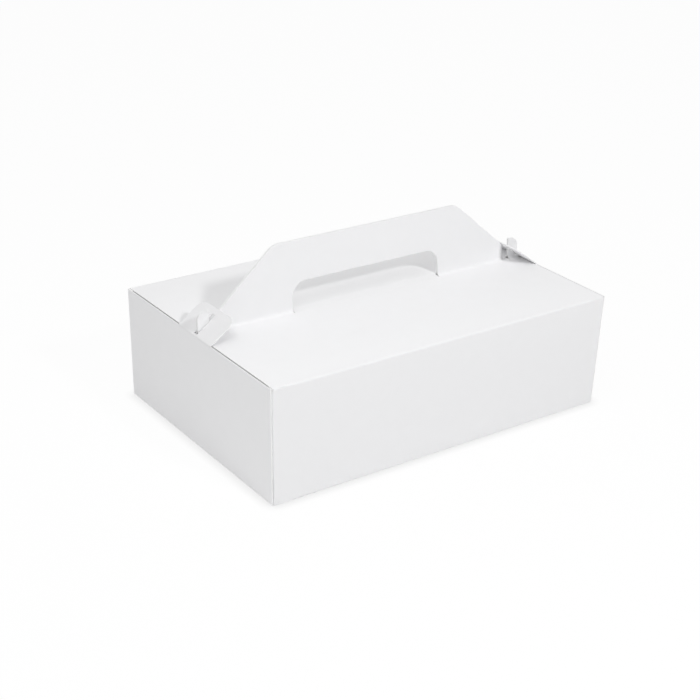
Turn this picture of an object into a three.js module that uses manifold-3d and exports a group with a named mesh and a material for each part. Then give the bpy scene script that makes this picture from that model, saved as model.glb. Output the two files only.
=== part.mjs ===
// A white cake carrier box, folded from one sheet of carton board.
// Units are millimetres, X runs along the box, +Z is up, and the box stands on z = 0.

import * as THREE from 'three';
import { mergeVertices } from 'three/addons/utils/BufferGeometryUtils.js';
import Module from 'manifold-3d';

const wasm = await Module();
wasm.setup();

// Board
const boardThickness = 0.7;
const creaseRadius = 0.9;
const handleFoldRadius = 2.6;
const layerGap = 0.3;

// Box
const boxLength = 270;
const boxWidth = 180;
const boxHeight = 80;
const endWallFlare = 2;
const endWallInset = 0.4;
const lidEndGap = 0.7;

// Glued corner tabs behind the end walls
const tabLength = 32;
const tabTaper = 9;

// Handle, two halves face to face
const handleRise = 48.3;
const handleTopLength = 150;
const handleCornerRadius = 5;
const handleEndInset = 17.3;
const shoulderRise = 11.8;
const handleLean = THREE.MathUtils.degToRad(4);

// Hand slot and the flaps cut from it
const slotLength = 121;
const slotOffset = -0.8;
const slotRise = 20;
const slotCornerRadius = 11;
const flapCornerRadius = 6;
const flapClearance = 0.5;

// Lock ears beside the handle, with the lid's flat edges in the notch between them
const earOuterInset = 2.5;
const earWidth = 8.3;
const earRise = 14.4;
const earRadius = 5.5;
const lidEdgeGap = 1.6;
const lidEdgeClearance = 0.4;

// End tongues hooked over the ears
const tongueWidth = 40;
const tongueReach = 22.5;
const tongueCornerRadius = 7;
const slitClearance = 0.6;
const slitStart = 0.9;
const tongueRootDrop = 0.8;
const tongueRootRelief = 0.5;
const tongueRootGap = 0.3;

// Worked out from the sizes above
const lidCentre = boxHeight - boardThickness / 2;
const flarePerRise = endWallFlare / boxHeight;
const halfLayerStep = (boardThickness + layerGap) / 2 / Math.cos(handleLean);
const handleFoldReach = handleFoldRadius + halfLayerStep;
const hingeX = boxLength / 2 - boardThickness / 2;
const earOuterX = boxLength / 2 - earOuterInset;
const earInnerX = earOuterX - earWidth;
const handleEndX = boxLength / 2 - handleEndInset;
const far = boxLength + boxWidth + boxHeight;

// Turns a closed geometry into a solid for cutting and joining.
function solidOf(geometry) {
  const plain = geometry.clone();
  plain.deleteAttribute('normal');
  plain.deleteAttribute('uv');
  const merged = mergeVertices(plain, 1e-5);
  return new wasm.Manifold(new wasm.Mesh({
    numProp: 3,
    vertProperties: Float32Array.from(merged.attributes.position.array),
    triVerts: Uint32Array.from(merged.index.array),
  }));
}

// Turns a solid back into a geometry for a mesh.
function geometryOf(solid) {
  const mesh = solid.getMesh();
  const geometry = new THREE.BufferGeometry();
  geometry.setAttribute('position', new THREE.BufferAttribute(Float32Array.from(mesh.vertProperties), 3));
  geometry.setIndex(new THREE.BufferAttribute(Uint32Array.from(mesh.triVerts), 1));
  geometry.computeVertexNormals();
  return geometry;
}

const axisX = new THREE.Vector3(1, 0, 0);
const axisY = new THREE.Vector3(0, 1, 0);
const axisZ = new THREE.Vector3(0, 0, 1);

// Extrudes a shape by depth, centred, with its own x, y and depth along the three given axes.
function extruded(shape, depth, alongX, alongY) {
  const geometry = new THREE.ExtrudeGeometry(shape, { depth, bevelEnabled: false, curveSegments: 8 });
  geometry.translate(0, 0, -depth / 2);
  const alongDepth = new THREE.Vector3().crossVectors(alongX, alongY);
  geometry.applyMatrix4(new THREE.Matrix4().makeBasis(alongX, alongY, alongDepth));
  return geometry;
}

// The section of a folded board: a centre line with rounded bends, given half a board each side.
function foldedSection(corners, radii) {
  const line = [];
  const points = corners.map(([a, b]) => new THREE.Vector2(a, b));
  const add = (point, direction) => {
    line.push({ point, normal: new THREE.Vector2(-direction.y, direction.x) });
  };
  const directionFrom = (i) => points[i + 1].clone().sub(points[i]).normalize();
  add(points[0], directionFrom(0));
  for (let i = 1; i < points.length - 1; i += 1) {
    const before = directionFrom(i - 1);
    const after = directionFrom(i);
    const turn = Math.atan2(before.cross(after), before.dot(after));
    const setback = radii[i - 1] * Math.tan(Math.abs(turn) / 2);
    const side = Math.sign(turn);
    const start = points[i].clone().addScaledVector(before, -setback);
    const toCentre = new THREE.Vector2(-before.y, before.x).multiplyScalar(side * radii[i - 1]);
    const centre = start.clone().add(toCentre);
    const steps = Math.max(2, Math.round(Math.abs(turn) / 0.26));
    for (let k = 0; k <= steps; k += 1) {
      const angle = turn * k / steps;
      const point = start.clone().rotateAround(centre, angle);
      add(point, before.clone().rotateAround(new THREE.Vector2(), angle));
    }
  }
  const last = points.length - 1;
  add(points[last], directionFrom(last - 1));
  const offset = (sample, distance) => sample.point.clone().addScaledVector(sample.normal, distance);
  const half = boardThickness / 2;
  const left = line.map((sample) => offset(sample, half));
  const right = line.map((sample) => offset(sample, -half)).reverse();
  return new THREE.Shape([...left, ...right]);
}

// A rectangle whose far two corners are rounded, from x = -half to half and y = low to high.
function tabShape(half, low, high, radius) {
  const shape = new THREE.Shape();
  shape.moveTo(-half, low);
  shape.lineTo(half, low);
  shape.lineTo(half, high - radius);
  shape.absarc(half - radius, high - radius, radius, 0, Math.PI / 2, false);
  shape.lineTo(-half + radius, high);
  shape.absarc(-half + radius, high - radius, radius, Math.PI / 2, Math.PI, false);
  shape.closePath();
  return shape;
}

// The long strip: handle, lid, wall, bottom, wall, lid and handle again, as one section.
function longStrip() {
  const lean = Math.tan(handleLean);
  const handleTop = boxHeight + handleRise + boardThickness;
  const rise = handleTop - lidCentre;
  const wall = boxWidth / 2 - boardThickness / 2;
  const floor = boardThickness / 2;
  const corners = [
    [-halfLayerStep + rise * lean, handleTop],
    [-halfLayerStep, lidCentre],
    [-wall, lidCentre],
    [-wall, floor],
    [wall, floor],
    [wall, lidCentre],
    [halfLayerStep, lidCentre],
    [halfLayerStep + rise * lean, handleTop],
  ];
  const radii = [handleFoldRadius, creaseRadius, creaseRadius, creaseRadius, creaseRadius, handleFoldRadius];
  return solidOf(extruded(foldedSection(corners, radii), boxLength, axisY, axisZ));
}

// The outline of the walls and lid seen from the front, short of the corner folds.
function wallOutline() {
  const wallEnd = boxLength / 2 - boardThickness - creaseRadius;
  const lidEnd = boxLength / 2 - boardThickness - lidEndGap;
  const crease = boxHeight - boardThickness - creaseRadius;
  const shape = new THREE.Shape();
  const foot = wallEnd - endWallFlare;
  shape.moveTo(-foot, -boardThickness);
  shape.lineTo(foot, -boardThickness);
  shape.lineTo(foot, 0);
  shape.lineTo(foot + flarePerRise * crease, crease);
  shape.lineTo(lidEnd, crease);
  shape.lineTo(lidEnd, boxHeight);
  shape.lineTo(-lidEnd, boxHeight);
  shape.lineTo(-lidEnd, crease);
  shape.lineTo(-foot - flarePerRise * crease, crease);
  shape.lineTo(-foot, 0);
  shape.closePath();
  return solidOf(extruded(shape, far, axisX, axisZ));
}

// The handle's outline: upright ends to the shoulders, then slopes to a shorter top edge.
function handleOutline() {
  const top = boxHeight + handleRise;
  const shoulder = boxHeight + shoulderRise;
  const slope = new THREE.Vector2(handleEndX - handleTopLength / 2, shoulder - top);
  const back = slope.clone().setLength(handleCornerRadius);
  const corner = handleTopLength / 2;
  const shape = new THREE.Shape();
  shape.moveTo(-handleEndX, lidCentre);
  shape.lineTo(handleEndX, lidCentre);
  shape.lineTo(handleEndX, shoulder);
  shape.lineTo(corner + back.x, top + back.y);
  shape.quadraticCurveTo(corner, top, corner - handleCornerRadius, top);
  shape.lineTo(-corner + handleCornerRadius, top);
  shape.quadraticCurveTo(-corner, top, -corner - back.x, top + back.y);
  shape.lineTo(-handleEndX, shoulder);
  shape.closePath();
  return solidOf(extruded(shape, far, axisX, axisZ));
}

// A lock ear: upright, square on the handle's side and rounded on the outside.
function earOutline(side) {
  const top = boxHeight + earRise;
  const shape = new THREE.Shape();
  shape.moveTo(earInnerX, lidCentre);
  shape.lineTo(earOuterX, lidCentre);
  shape.lineTo(earOuterX, top - earRadius);
  shape.absarc(earOuterX - earRadius, top - earRadius, earRadius, 0, Math.PI / 2, false);
  shape.lineTo(earInnerX, top);
  shape.closePath();
  const ear = extruded(shape, far, axisX, axisZ);
  if (side < 0) ear.rotateZ(Math.PI);
  return solidOf(ear);
}

// A box that clears the handle fold between two x positions.
function foldCutter(fromX, toX) {
  const height = handleFoldRadius + boardThickness * 2;
  const box = new THREE.BoxGeometry(toX - fromX, handleFoldReach * 2, height);
  box.translate((fromX + toX) / 2, 0, boxHeight - boardThickness * 1.5 + height / 2);
  return solidOf(box);
}

// The lid's flat front edge between the handle and an ear, reaching in towards the middle.
function lidEdge() {
  const length = earInnerX - handleEndX - lidEdgeClearance * 2;
  const reach = handleFoldReach + creaseRadius - lidEdgeGap / 2;
  const box = new THREE.BoxGeometry(length, reach, boardThickness);
  box.translate((handleEndX + earInnerX) / 2, -(lidEdgeGap + reach) / 2, lidCentre);
  return solidOf(box);
}

// The hand slot, cut through both handle halves down to the lid.
function slotCutter() {
  const low = boxHeight - boardThickness * 1.5;
  const shape = tabShape(slotLength / 2, low, boxHeight + slotRise, slotCornerRadius);
  return solidOf(extruded(shape, handleFoldReach * 2, axisX, axisZ)).translate([slotOffset, 0, 0]);
}

// A slot flap: it stays level when its handle half folds up and crosses to the other side.
function slotFlap(side) {
  const step = boardThickness + layerGap;
  const reach = handleFoldRadius + slotRise;
  const path = [
    [-handleFoldReach - creaseRadius, lidCentre],
    [-handleFoldReach, lidCentre],
    [handleFoldReach, lidCentre + step],
    [reach, lidCentre + step],
  ];
  const section = foldedSection(path, [creaseRadius, creaseRadius]);
  const half = slotLength / 2 - flapClearance;
  const outline = tabShape(half, -far / 2, reach, flapCornerRadius);
  const sheet = solidOf(extruded(section, slotLength, axisY, axisZ));
  const cut = solidOf(extruded(outline, far, axisX, axisY));
  const flap = sheet.intersect(cut).translate([slotOffset, 0, 0]);
  return side < 0 ? flap : flap.mirror([0, 0, 1]).translate([0, 0, lidCentre * 2]).mirror([0, 1, 0]);
}

// Leans a piece outwards towards the top, as the end walls do.
function flared(geometry) {
  const shear = new THREE.Matrix4().makeShear(0, 0, 0, 0, flarePerRise, 0);
  return geometry.applyMatrix4(shear);
}

// An end wall, hinged on the bottom, with raw side and top edges and a low step for the tongue's root.
function endWall() {
  const foot = boxLength / 2 - endWallFlare - boardThickness / 2;
  const floor = boardThickness / 2;
  const path = [
    [foot - tabLength, floor],
    [foot, floor],
    [foot + flarePerRise * boxHeight, boxHeight],
  ];
  const wall = solidOf(extruded(foldedSection(path, [creaseRadius]), boxWidth - endWallInset * 2, axisX, axisZ));
  const step = new THREE.BoxGeometry(boardThickness * 4, tongueWidth + tongueRootRelief * 2, tongueRootDrop * 2);
  step.translate(hingeX, 0, boxHeight);
  return wall.subtract(solidOf(step));
}

// A corner tab on the end of a long wall, folded in behind the end wall and tapered at its free end.
function cornerTab(side) {
  const inner = boxLength / 2 - endWallFlare - boardThickness * 1.5;
  const wall = boxWidth / 2 - boardThickness / 2;
  const height = boxHeight - boardThickness * 2;
  const path = [
    [inner - tabLength / 2, -wall],
    [inner, -wall],
    [inner, -wall + tabLength],
  ];
  const tab = extruded(foldedSection(path, [creaseRadius]), height, axisX, axisY);
  tab.translate(0, 0, height / 2 + boardThickness);
  const outline = new THREE.Shape();
  outline.moveTo(-wall - boardThickness, 0);
  outline.lineTo(-wall + boardThickness * 2, 0);
  outline.lineTo(-wall + tabLength, tabTaper);
  outline.lineTo(-wall + tabLength, boxHeight - tabTaper);
  outline.lineTo(-wall + boardThickness * 2, boxHeight);
  outline.lineTo(-wall - boardThickness, boxHeight);
  outline.closePath();
  const taper = extruded(outline, far, axisY, axisZ);
  const solid = solidOf(flared(tab)).intersect(solidOf(taper));
  return side < 0 ? solid : solid.mirror([0, 1, 0]);
}

// The carton: everything but the two end tongues, as one folded sheet.
function cartonGeometry() {
  const outline = [handleOutline(), earOutline(1), earOutline(-1)]
    .reduce((sum, solid) => sum.add(solid), wallOutline());
  let carton = longStrip().intersect(outline);
  const cuts = [
    foldCutter(handleEndX, earInnerX),
    foldCutter(-earInnerX, -handleEndX),
    foldCutter(earOuterX, boxLength / 2),
    foldCutter(-boxLength / 2, -earOuterX),
    slotCutter(),
  ];
  for (const cut of cuts) carton = carton.subtract(cut);
  const rightWall = endWall();
  const pieces = [rightWall, rightWall.mirror([1, 0, 0]), slotFlap(-1), slotFlap(1)];
  for (const side of [-1, 1]) {
    const tab = cornerTab(side);
    const edge = side < 0 ? lidEdge() : lidEdge().mirror([0, 1, 0]);
    pieces.push(tab, tab.mirror([1, 0, 0]), edge, edge.mirror([1, 0, 0]));
  }
  for (const piece of pieces) carton = carton.add(piece);
  return geometryOf(carton);
}

// The angle at which a tongue rests on the handle's shoulder.
function tongueTilt() {
  const across = hingeX - handleEndX;
  const standOff = boardThickness / 2 + layerGap;
  return Math.atan2(shoulderRise, across) + Math.asin(standOff / Math.hypot(across, shoulderRise));
}

// The outline of a tongue laid flat, with a slit that clears the ear at every angle it swings to.
function tongueOutline(leanSide) {
  const shape = tabShape(tongueWidth / 2, -tongueReach, tongueReach, tongueCornerRadius);
  const earLean = earRise * Math.tan(handleLean);
  const slitCentre = leanSide * earLean / 2;
  const slitHalf = (boardThickness * 2 + layerGap + earLean) / 2 + slitClearance;
  const high = Math.hypot(hingeX - earInnerX, earRise) + slitClearance;
  const slit = new THREE.Path();
  slit.moveTo(slitCentre - slitHalf, slitStart);
  slit.lineTo(slitCentre - slitHalf, high);
  slit.lineTo(slitCentre + slitHalf, high);
  slit.lineTo(slitCentre + slitHalf, slitStart);
  slit.closePath();
  shape.holes.push(slit);
  return shape;
}

// A tongue about its own hinge: a short upright root, the fold, and the flap lying inwards on its tilt.
function tongueGeometry(leanSide) {
  const tilt = tongueTilt();
  const inwards = new THREE.Vector3(-Math.cos(tilt), 0, Math.sin(tilt));
  const reach = tongueReach + creaseRadius;
  const path = [
    [0, tongueRootGap - tongueRootDrop],
    [0, 0],
    [reach * inwards.x, reach * inwards.z],
  ];
  const sheet = extruded(foldedSection(path, [creaseRadius]), tongueWidth, axisX, axisZ);
  const cutter = extruded(tongueOutline(leanSide), far, axisY, inwards);
  return geometryOf(solidOf(sheet).intersect(solidOf(cutter)));
}

function boardMaterial() {
  return new THREE.MeshStandardMaterial({ color: 0xf1f1f2, roughness: 0.62, metalness: 0 });
}

const box = new THREE.Group();

const carton = new THREE.Mesh(cartonGeometry(), boardMaterial());
carton.name = 'carton';
box.add(carton);

for (const [name, turn, leanSide] of [['right_tongue', 0, 1], ['left_tongue', Math.PI, -1]]) {
  const end = new THREE.Group();
  end.rotation.z = turn;
  const tongue = new THREE.Mesh(tongueGeometry(leanSide), boardMaterial());
  tongue.name = name;
  tongue.position.set(hingeX, 0, boxHeight);
  end.add(tongue);
  box.add(end);
}

export default box;
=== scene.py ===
# A white cake carrier box, folded from carton board and closed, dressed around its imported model.
# Lengths are metres. +X runs along the box, -Y is the long wall towards the camera, +Z is up.

import math

import bmesh
import bpy
from mathutils import Matrix, Vector
from mathutils.bvhtree import BVHTree


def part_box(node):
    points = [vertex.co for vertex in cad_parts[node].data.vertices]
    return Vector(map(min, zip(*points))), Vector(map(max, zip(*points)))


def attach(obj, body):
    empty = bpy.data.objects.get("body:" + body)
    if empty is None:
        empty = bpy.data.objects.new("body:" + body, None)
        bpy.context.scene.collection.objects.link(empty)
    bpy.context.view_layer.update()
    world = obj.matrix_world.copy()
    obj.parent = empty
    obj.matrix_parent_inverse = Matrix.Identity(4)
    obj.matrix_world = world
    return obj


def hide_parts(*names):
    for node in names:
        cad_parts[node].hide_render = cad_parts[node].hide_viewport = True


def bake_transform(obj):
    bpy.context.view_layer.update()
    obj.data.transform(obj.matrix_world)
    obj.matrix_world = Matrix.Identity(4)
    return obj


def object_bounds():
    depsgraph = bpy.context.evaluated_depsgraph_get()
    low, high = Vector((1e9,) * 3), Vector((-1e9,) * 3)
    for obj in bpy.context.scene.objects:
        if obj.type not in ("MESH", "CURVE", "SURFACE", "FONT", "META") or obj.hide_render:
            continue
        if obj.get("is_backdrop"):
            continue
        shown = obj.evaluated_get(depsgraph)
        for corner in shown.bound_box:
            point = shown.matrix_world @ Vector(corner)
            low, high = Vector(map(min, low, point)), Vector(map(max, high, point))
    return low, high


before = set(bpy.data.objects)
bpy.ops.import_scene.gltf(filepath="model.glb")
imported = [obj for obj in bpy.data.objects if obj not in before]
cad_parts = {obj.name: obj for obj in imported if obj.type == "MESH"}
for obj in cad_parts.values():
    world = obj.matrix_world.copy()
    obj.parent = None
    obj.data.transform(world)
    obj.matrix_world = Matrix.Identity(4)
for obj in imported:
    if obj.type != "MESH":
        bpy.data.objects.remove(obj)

packed_low, packed_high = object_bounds()
scene = bpy.context.scene
MM = 0.001


# Camera. It stands in front of the box's left end and above it, and looks down on the lid with
# a short telephoto lens. The picture is square, and its horizon is rolled by two degrees.
PICTURE_SIDE_PX = 700
FOCAL_LENGTH_PX = 1494.1
SENSOR_WIDTH_IN_MM = 36
NEAREST_SEEN = 0.05
FURTHEST_SEEN = 20
VIEW_AZIMUTH = math.radians(-36.06)
VIEW_ELEVATION = math.radians(25.07)
VIEW_ROLL = math.radians(1.93)
VIEW_DISTANCE = 1022.3 * MM
VIEW_TARGET = Vector((-13.28, 0, 40.15)) * MM

back = Vector((
    math.sin(VIEW_AZIMUTH) * math.cos(VIEW_ELEVATION),
    -math.cos(VIEW_AZIMUTH) * math.cos(VIEW_ELEVATION),
    math.sin(VIEW_ELEVATION),
))
level_right = Vector((0, 0, 1)).cross(back).normalized()
level_up = back.cross(level_right)
camera_right = level_right * math.cos(VIEW_ROLL) + level_up * math.sin(VIEW_ROLL)
camera_up = level_up * math.cos(VIEW_ROLL) - level_right * math.sin(VIEW_ROLL)

camera_data = bpy.data.cameras.new("picture_camera")
camera_data.sensor_width = SENSOR_WIDTH_IN_MM
camera_data.lens = FOCAL_LENGTH_PX * SENSOR_WIDTH_IN_MM / PICTURE_SIDE_PX
camera_data.clip_start = NEAREST_SEEN
camera_data.clip_end = FURTHEST_SEEN
camera = bpy.data.objects.new("picture_camera", camera_data)
scene.collection.objects.link(camera)
turned = Matrix((camera_right, camera_up, back)).transposed().to_4x4()
camera.matrix_world = Matrix.Translation(VIEW_TARGET + back * VIEW_DISTANCE) @ turned
scene.camera = camera


# Light. The room is brightest above the box, behind it and to the left, and shows as plain
# white. A large softbox hangs over the front left corner, and one small lamp in front of the
# box, forty degrees up, lets the handle shade the lid behind it.
WHITE = (1, 1, 1, 1)
ROOM_STRENGTH = 0.39
ROOM_TILT = (-0.33, 0.74, 0.58)
KEY_POWER = 7.8
KEY_SIDE = 0.15
KEY_PLACE = Vector((0.1545, -1.2154, 1.03))
SOFTBOX_POWER = 1.85
SOFTBOX_SIDE = 0.6
SOFTBOX_PLACE = Vector((-0.45, -0.30, 0.85))


def linear(code):
    """A colour written as an sRGB hex code, as linear RGBA."""
    parts = [int(code[i:i + 2], 16) / 255 for i in (0, 2, 4)]
    return [p / 12.92 if p <= 0.04045 else ((p + 0.055) / 1.055) ** 2.4 for p in parts] + [1.0]


def add_node(tree, kind, settings=None, links=None):
    """A node of that kind, with its properties or input values set and its inputs linked."""
    node = tree.nodes.new(kind)
    for name, value in (settings or {}).items():
        if isinstance(name, str) and hasattr(node, name):
            setattr(node, name, value)
        else:
            node.inputs[name].default_value = value
    for name, source in (links or {}).items():
        tree.links.new(source, node.inputs[name])
    return node


def add_lamp(name, power, side, place):
    """A square lamp at that place, turned to the box."""
    data = bpy.data.lights.new(name, "AREA")
    data.energy = power
    data.size = side
    lamp = bpy.data.objects.new(name, data)
    lamp.rotation_mode = "QUATERNION"
    lamp.rotation_quaternion = place.to_track_quat("Z", "Y")
    lamp.location = place
    scene.collection.objects.link(lamp)


world = bpy.data.worlds.new("bright_room")
world.use_nodes = True
room = world.node_tree
room.nodes.clear()
seen = add_node(room, "ShaderNodeLightPath")
glossy_or_camera = add_node(room, "ShaderNodeMath", {"operation": "MAXIMUM"}, {
    0: seen.outputs["Is Camera Ray"],
    1: seen.outputs["Is Glossy Ray"],
})
any_view = add_node(room, "ShaderNodeMath", {"operation": "MAXIMUM"}, {
    0: glossy_or_camera.outputs[0],
    1: seen.outputs["Is Transmission Ray"],
})
direction = add_node(room, "ShaderNodeTexCoord")
along = add_node(room, "ShaderNodeVectorMath", {"operation": "DOT_PRODUCT", 1: ROOM_TILT}, {
    0: direction.outputs["Generated"],
})
strength = add_node(room, "ShaderNodeMath", {
    "operation": "MULTIPLY_ADD", 1: ROOM_STRENGTH, 2: ROOM_STRENGTH,
}, {
    0: along.outputs["Value"],
})
lighting = add_node(room, "ShaderNodeBackground", {"Color": WHITE}, {
    "Strength": strength.outputs[0],
})
backdrop = add_node(room, "ShaderNodeBackground", {"Color": WHITE, "Strength": 1.0})
both = add_node(room, "ShaderNodeMixShader", {}, {
    0: any_view.outputs[0],
    1: lighting.outputs[0],
    2: backdrop.outputs[0],
})
add_node(room, "ShaderNodeOutputWorld", {}, {"Surface": both.outputs[0]})
scene.world = world

add_lamp("key_lamp", KEY_POWER, KEY_SIDE, KEY_PLACE)
add_lamp("softbox", SOFTBOX_POWER, SOFTBOX_SIDE, SOFTBOX_PLACE)


# Floor. A white sweep that shows as plain white, with only a faint contact shadow close round
# the foot of the box and a trace of the softer shadow that the box throws.
FLOOR_HALF = 3.0
FLOOR_BOUNCE = "F1F1F1"
CONTACT_REACH = 8 * MM
CONTACT_SAMPLES = 16
CONTACT_SHADE = 0.86
OPEN_SHARE_AT_FOOT = 0.5
SHADOW_SHARE = 0.06

floor_mesh = bpy.data.meshes.new("floor")
corners = [(-1, -1), (1, -1), (1, 1), (-1, 1)]
floor_mesh.from_pydata([(FLOOR_HALF * x, FLOOR_HALF * y, 0) for x, y in corners], [], [(0, 1, 2, 3)])
floor = bpy.data.objects.new("floor", floor_mesh)
scene.collection.objects.link(floor)
floor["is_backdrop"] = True

sweep = bpy.data.materials.new("white_paper_sweep")
sweep.use_nodes = True
paper = sweep.node_tree
paper.nodes.clear()
seen = add_node(paper, "ShaderNodeLightPath")
near = add_node(paper, "ShaderNodeAmbientOcclusion", {
    "Distance": CONTACT_REACH, "samples": CONTACT_SAMPLES,
})
shade = add_node(paper, "ShaderNodeMapRange", {
    "From Min": OPEN_SHARE_AT_FOOT, "To Min": CONTACT_SHADE, "To Max": 1.0,
}, {
    "Value": near.outputs["AO"],
})
plain = add_node(paper, "ShaderNodeEmission", {"Strength": 1.0}, {"Color": shade.outputs[0]})
shadowed = add_node(paper, "ShaderNodeBsdfDiffuse", {"Color": WHITE})
shown = add_node(paper, "ShaderNodeMixShader", {0: SHADOW_SHARE}, {
    1: plain.outputs[0],
    2: shadowed.outputs[0],
})
bounce = add_node(paper, "ShaderNodeBsdfDiffuse", {"Color": linear(FLOOR_BOUNCE)})
surface = add_node(paper, "ShaderNodeMixShader", {}, {
    0: seen.outputs["Is Camera Ray"],
    1: bounce.outputs[0],
    2: shown.outputs[0],
})
add_node(paper, "ShaderNodeOutputMaterial", {}, {"Surface": surface.outputs[0]})
floor_mesh.materials.append(sweep)


# Board. Bleached carton board, clay-coated on the outside, about 0.7 mm a layer. The coating gives
# a matt white with a faint cloudiness from the pulp. The die-cut edges show the rougher bare core, a
# trace whiter than the coating as a painted highlight on them. The tongues let a little light through.
BOARD = 0.7 * MM
BOARD_WHITE = "FAFAFB"
BOARD_CLOUD = "F7F7F8"
# White of the bare core at the cut edges, set above the coating's white as a painted highlight.
CORE_WHITE_AND_EDGE_HIGHLIGHT = "FCFCFB"
CLOUD_SIZE = 9 * MM
CLOUD_DETAIL = 3.0
FIBRE_SIZE = 0.55 * MM
FIBRE_RELIEF = 0.006 * MM
CORE_PLY = 0.25 * MM
CORE_RELIEF = 0.03 * MM
RELIEF_DETAIL = 4.0
COATED_ROUGHNESS = 0.58
CORE_ROUGHNESS = 0.85
BOARD_IOR = 1.45
LET_THROUGH = 0.08


def board_material(name, base, roughness, bump_size, bump_height, let_through=0.0):
    """Paper board: a white with faint clouds and a fine fibre relief, which may let light through."""
    material = bpy.data.materials.new(name)
    material.use_nodes = True
    tree = material.node_tree
    tree.nodes.clear()
    place = add_node(tree, "ShaderNodeTexCoord")
    clouds = add_node(tree, "ShaderNodeTexNoise", {"Scale": 1 / CLOUD_SIZE, "Detail": CLOUD_DETAIL}, {
        "Vector": place.outputs["Object"],
    })
    colour = add_node(tree, "ShaderNodeMix", {
        "data_type": "RGBA", 6: linear(BOARD_CLOUD), 7: linear(base),
    }, {
        0: clouds.outputs["Fac"],
    })
    fibres = add_node(tree, "ShaderNodeTexNoise", {"Scale": 1 / bump_size, "Detail": RELIEF_DETAIL}, {
        "Vector": place.outputs["Object"],
    })
    relief = add_node(tree, "ShaderNodeBump", {"Strength": 1.0, "Distance": bump_height}, {
        "Height": fibres.outputs["Fac"],
    })
    skin = add_node(tree, "ShaderNodeBsdfPrincipled", {"Roughness": roughness, "IOR": BOARD_IOR}, {
        "Base Color": colour.outputs[2],
        "Normal": relief.outputs["Normal"],
    })
    glow = add_node(tree, "ShaderNodeBsdfTranslucent", {}, {"Color": colour.outputs[2]})
    board = add_node(tree, "ShaderNodeMixShader", {0: let_through}, {1: skin.outputs[0], 2: glow.outputs[0]})
    add_node(tree, "ShaderNodeOutputMaterial", {}, {"Surface": board.outputs[0]})
    return material


coated_board = board_material("clay_coated_board", BOARD_WHITE, COATED_ROUGHNESS, FIBRE_SIZE, FIBRE_RELIEF)
lit_board = board_material(
    "clay_coated_board_against_light", BOARD_WHITE, COATED_ROUGHNESS, FIBRE_SIZE, FIBRE_RELIEF, LET_THROUGH
)
cut_board = board_material("die_cut_board_edge", CORE_WHITE_AND_EDGE_HIGHLIGHT, CORE_ROUGHNESS, CORE_PLY, CORE_RELIEF)


# Carton. One die-cut sheet of coated board, creased and folded round the cake, with its corner
# tabs glued and its two handle halves standing face to face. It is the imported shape, gridded finely
# enough for smooth shading at the folds, with the slack of a box folded by hand added to it.
CARTON_GRID = 6 * MM
WELD = 1e-6
ON_PLANE = 1e-7
FLAT_ANGLE = math.radians(0.3)
UNDER_SKIN = 1e-5
TWO_LAYERS_AND_GAP = 1.7 * MM
SMOOTH_LIMIT = math.radians(24)


def gridded_copy(node, spacing):
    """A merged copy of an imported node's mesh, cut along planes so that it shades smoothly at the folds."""
    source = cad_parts[node]
    mesh = bmesh.new()
    mesh.from_mesh(source.data)
    bmesh.ops.remove_doubles(mesh, verts=mesh.verts, dist=WELD)
    bmesh.ops.dissolve_limit(
        mesh, angle_limit=FLAT_ANGLE, verts=mesh.verts, edges=mesh.edges, delimit={"NORMAL"}
    )
    low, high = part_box(node)
    for axis in range(3):
        normal = Vector([1.0 if i == axis else 0.0 for i in range(3)])
        count = int((high[axis] - low[axis]) / spacing)
        for k in range(1, count + 1):
            level = low[axis] + (k - 0.5) * (high[axis] - low[axis]) / count
            everything = mesh.verts[:] + mesh.edges[:] + mesh.faces[:]
            bmesh.ops.bisect_plane(
                mesh, geom=everything, dist=ON_PLANE, plane_co=normal * level, plane_no=normal
            )
    bmesh.ops.triangulate(mesh, faces=[f for f in mesh.faces if len(f.verts) > 4])
    return mesh


def mark_cut_edges(mesh):
    """Gives the second material to faces with no other face close behind them, the cut edges."""
    tree = BVHTree.FromBMesh(mesh)
    for face in mesh.faces:
        start = face.calc_center_median() - face.normal * UNDER_SKIN
        hit = tree.ray_cast(start, -face.normal, TWO_LAYERS_AND_GAP)
        face.material_index = 1 if hit[0] is None else 0


def finished_piece(name, mesh, face_board):
    """Turns the gridded mesh into an object of that board, with the core at its cut edges."""
    data = bpy.data.meshes.new(name)
    for edge in mesh.edges:
        edge.smooth = len(edge.link_faces) == 2 and edge.calc_face_angle(0.0) < SMOOTH_LIMIT
    for face in mesh.faces:
        face.smooth = True
    mesh.to_mesh(data)
    mesh.free()
    data.materials.append(face_board)
    data.materials.append(cut_board)
    piece = bpy.data.objects.new(name, data)
    scene.collection.objects.link(piece)
    return piece


# The lid's ends sit a trace to the right, so the gap over the left end wall shows.
LID_TOP = 80 * MM
LID_UNDERSIDE = LID_TOP - BOARD
LID_END = packed_high.x - 2 * BOARD
LID_SHIFT = 0.35 * MM
ON_EDGE = 0.05 * MM

# The end walls stop short of the upright folds, which leaves a thin groove at each corner.
END_WALL_SIDE = packed_high.y - 0.4 * MM
END_WALL_FROM = packed_high.x - 4 * MM
GROOVE = 0.5 * MM

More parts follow.
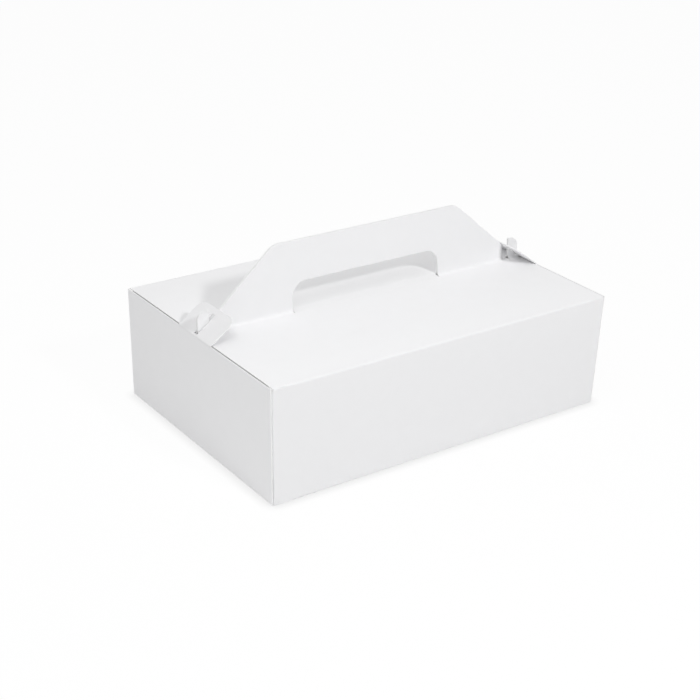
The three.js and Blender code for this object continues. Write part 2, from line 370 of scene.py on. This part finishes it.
# On both sides of each lock ear a strip of the lid half reaches to the middle slit. Each has
# its start and end along the box, and how far it reaches from the middle.
SLIT_HALF = 0.15 * MM
LID_STRIPS = (
    (117.8 * MM, 124.1 * MM, 0.9 * MM),
    (132.4 * MM, 133.9 * MM, 3.6 * MM),
)

carton_mesh = gridded_copy("carton", CARTON_GRID)
mark_cut_edges(carton_mesh)
for vertex in carton_mesh.verts:
    at_lid = vertex.co.z > LID_UNDERSIDE - TWO_LAYERS_AND_GAP
    if at_lid and abs(abs(vertex.co.x) - LID_END) < ON_EDGE:
        vertex.co.x += LID_SHIFT
    if abs(vertex.co.x) > END_WALL_FROM and abs(abs(vertex.co.y) - END_WALL_SIDE) < ON_EDGE:
        vertex.co.y -= math.copysign(GROOVE, vertex.co.y)
for strip_start, strip_end, reach in LID_STRIPS:
    low = Vector((strip_start, SLIT_HALF, LID_UNDERSIDE))
    high = Vector((strip_end, reach, LID_TOP))
    size = Matrix.Diagonal(high - low).to_4x4()
    middle = (low + high) / 2
    for x_side in (-1, 1):
        for y_side in (-1, 1):
            place = Matrix.Translation(Vector((middle.x * x_side, middle.y * y_side, middle.z)))
            bmesh.ops.create_cube(carton_mesh, size=1, matrix=place @ size)
carton = finished_piece("folded_carton", carton_mesh, coated_board)
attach(carton, "carton")
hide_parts("carton")


# End tongues. Each is a flap of the end wall, folded in and hooked over the lock ear by its
# slit. The fold is bent, not cut, so its root is brought down to meet the end wall.
TONGUE_GRID = 1.5 * MM
ROOT_GAP = 0.3 * MM
ROOT_BAND = 0.15 * MM

for side, name in ((-1, "left_tongue"), (1, "right_tongue")):
    low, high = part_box(name)
    mesh = gridded_copy(name, TONGUE_GRID)
    mark_cut_edges(mesh)
    for vertex in mesh.verts:
        if vertex.co.z < low.z + ROOT_BAND:
            vertex.co.z -= ROOT_GAP
    tongue = finished_piece(name + "_flap", mesh, lit_board)
    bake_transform(tongue)
    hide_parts(name)


scene.view_settings.view_transform = "Standard"
low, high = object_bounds()
